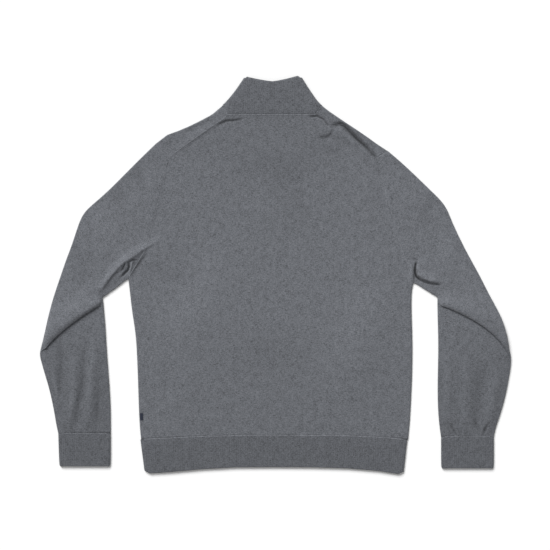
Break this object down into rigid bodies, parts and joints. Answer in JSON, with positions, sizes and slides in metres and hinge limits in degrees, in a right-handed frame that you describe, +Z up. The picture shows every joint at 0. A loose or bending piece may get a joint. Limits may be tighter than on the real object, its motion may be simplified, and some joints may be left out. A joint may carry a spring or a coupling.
{
  "type": "quarter zip sweater",
  "caption": "Fine-knit quarter zip sweater laid flat with its back up, with stand collar, bent sleeves, rib cuffs and rib hem.",
  "frame": {"origin": "on the surface under the middle of the whole garment's box", "axes": "+X towards the wearer's right sleeve, +Y towards the collar, +Z up from the surface, out of the back"},
  "size_m": [0.942, 0.795, 0.0131],
  "materials": {
    "knit": "heathered fine wool knit",
    "rib": "heathered fine rib knit",
    "zip_tape": "woven tape",
    "zip_metal": "satin",
    "label": "woven label"
  },
  "bodies": {
    "garment": {"front_panel": "knit", "back_panel": "knit", "sleeve_left": "knit", "sleeve_right": "knit", "cuff_left": "rib", "cuff_right": "rib", "hem_back": "rib", "hem_front": "rib", "collar": "rib", "zip_tape_left": "zip_tape", "zip_tape_right": "zip_tape", "zip_chain": "zip_metal", "zip_slider": "zip_metal", "zip_stop": "zip_metal", "side_label": "label"},
    "zip_pull": {"zip_pull_tab": "zip_metal"}
  },
  "joints": [
    {"name": "zip_pull_hinge", "type": "hinge", "parent": "garment", "child": "zip_pull", "pos_m": [-0.00631, 0.3329, 0.0016], "axis": [1, 0, 0], "range_deg": [0, 170]}
  ]
}
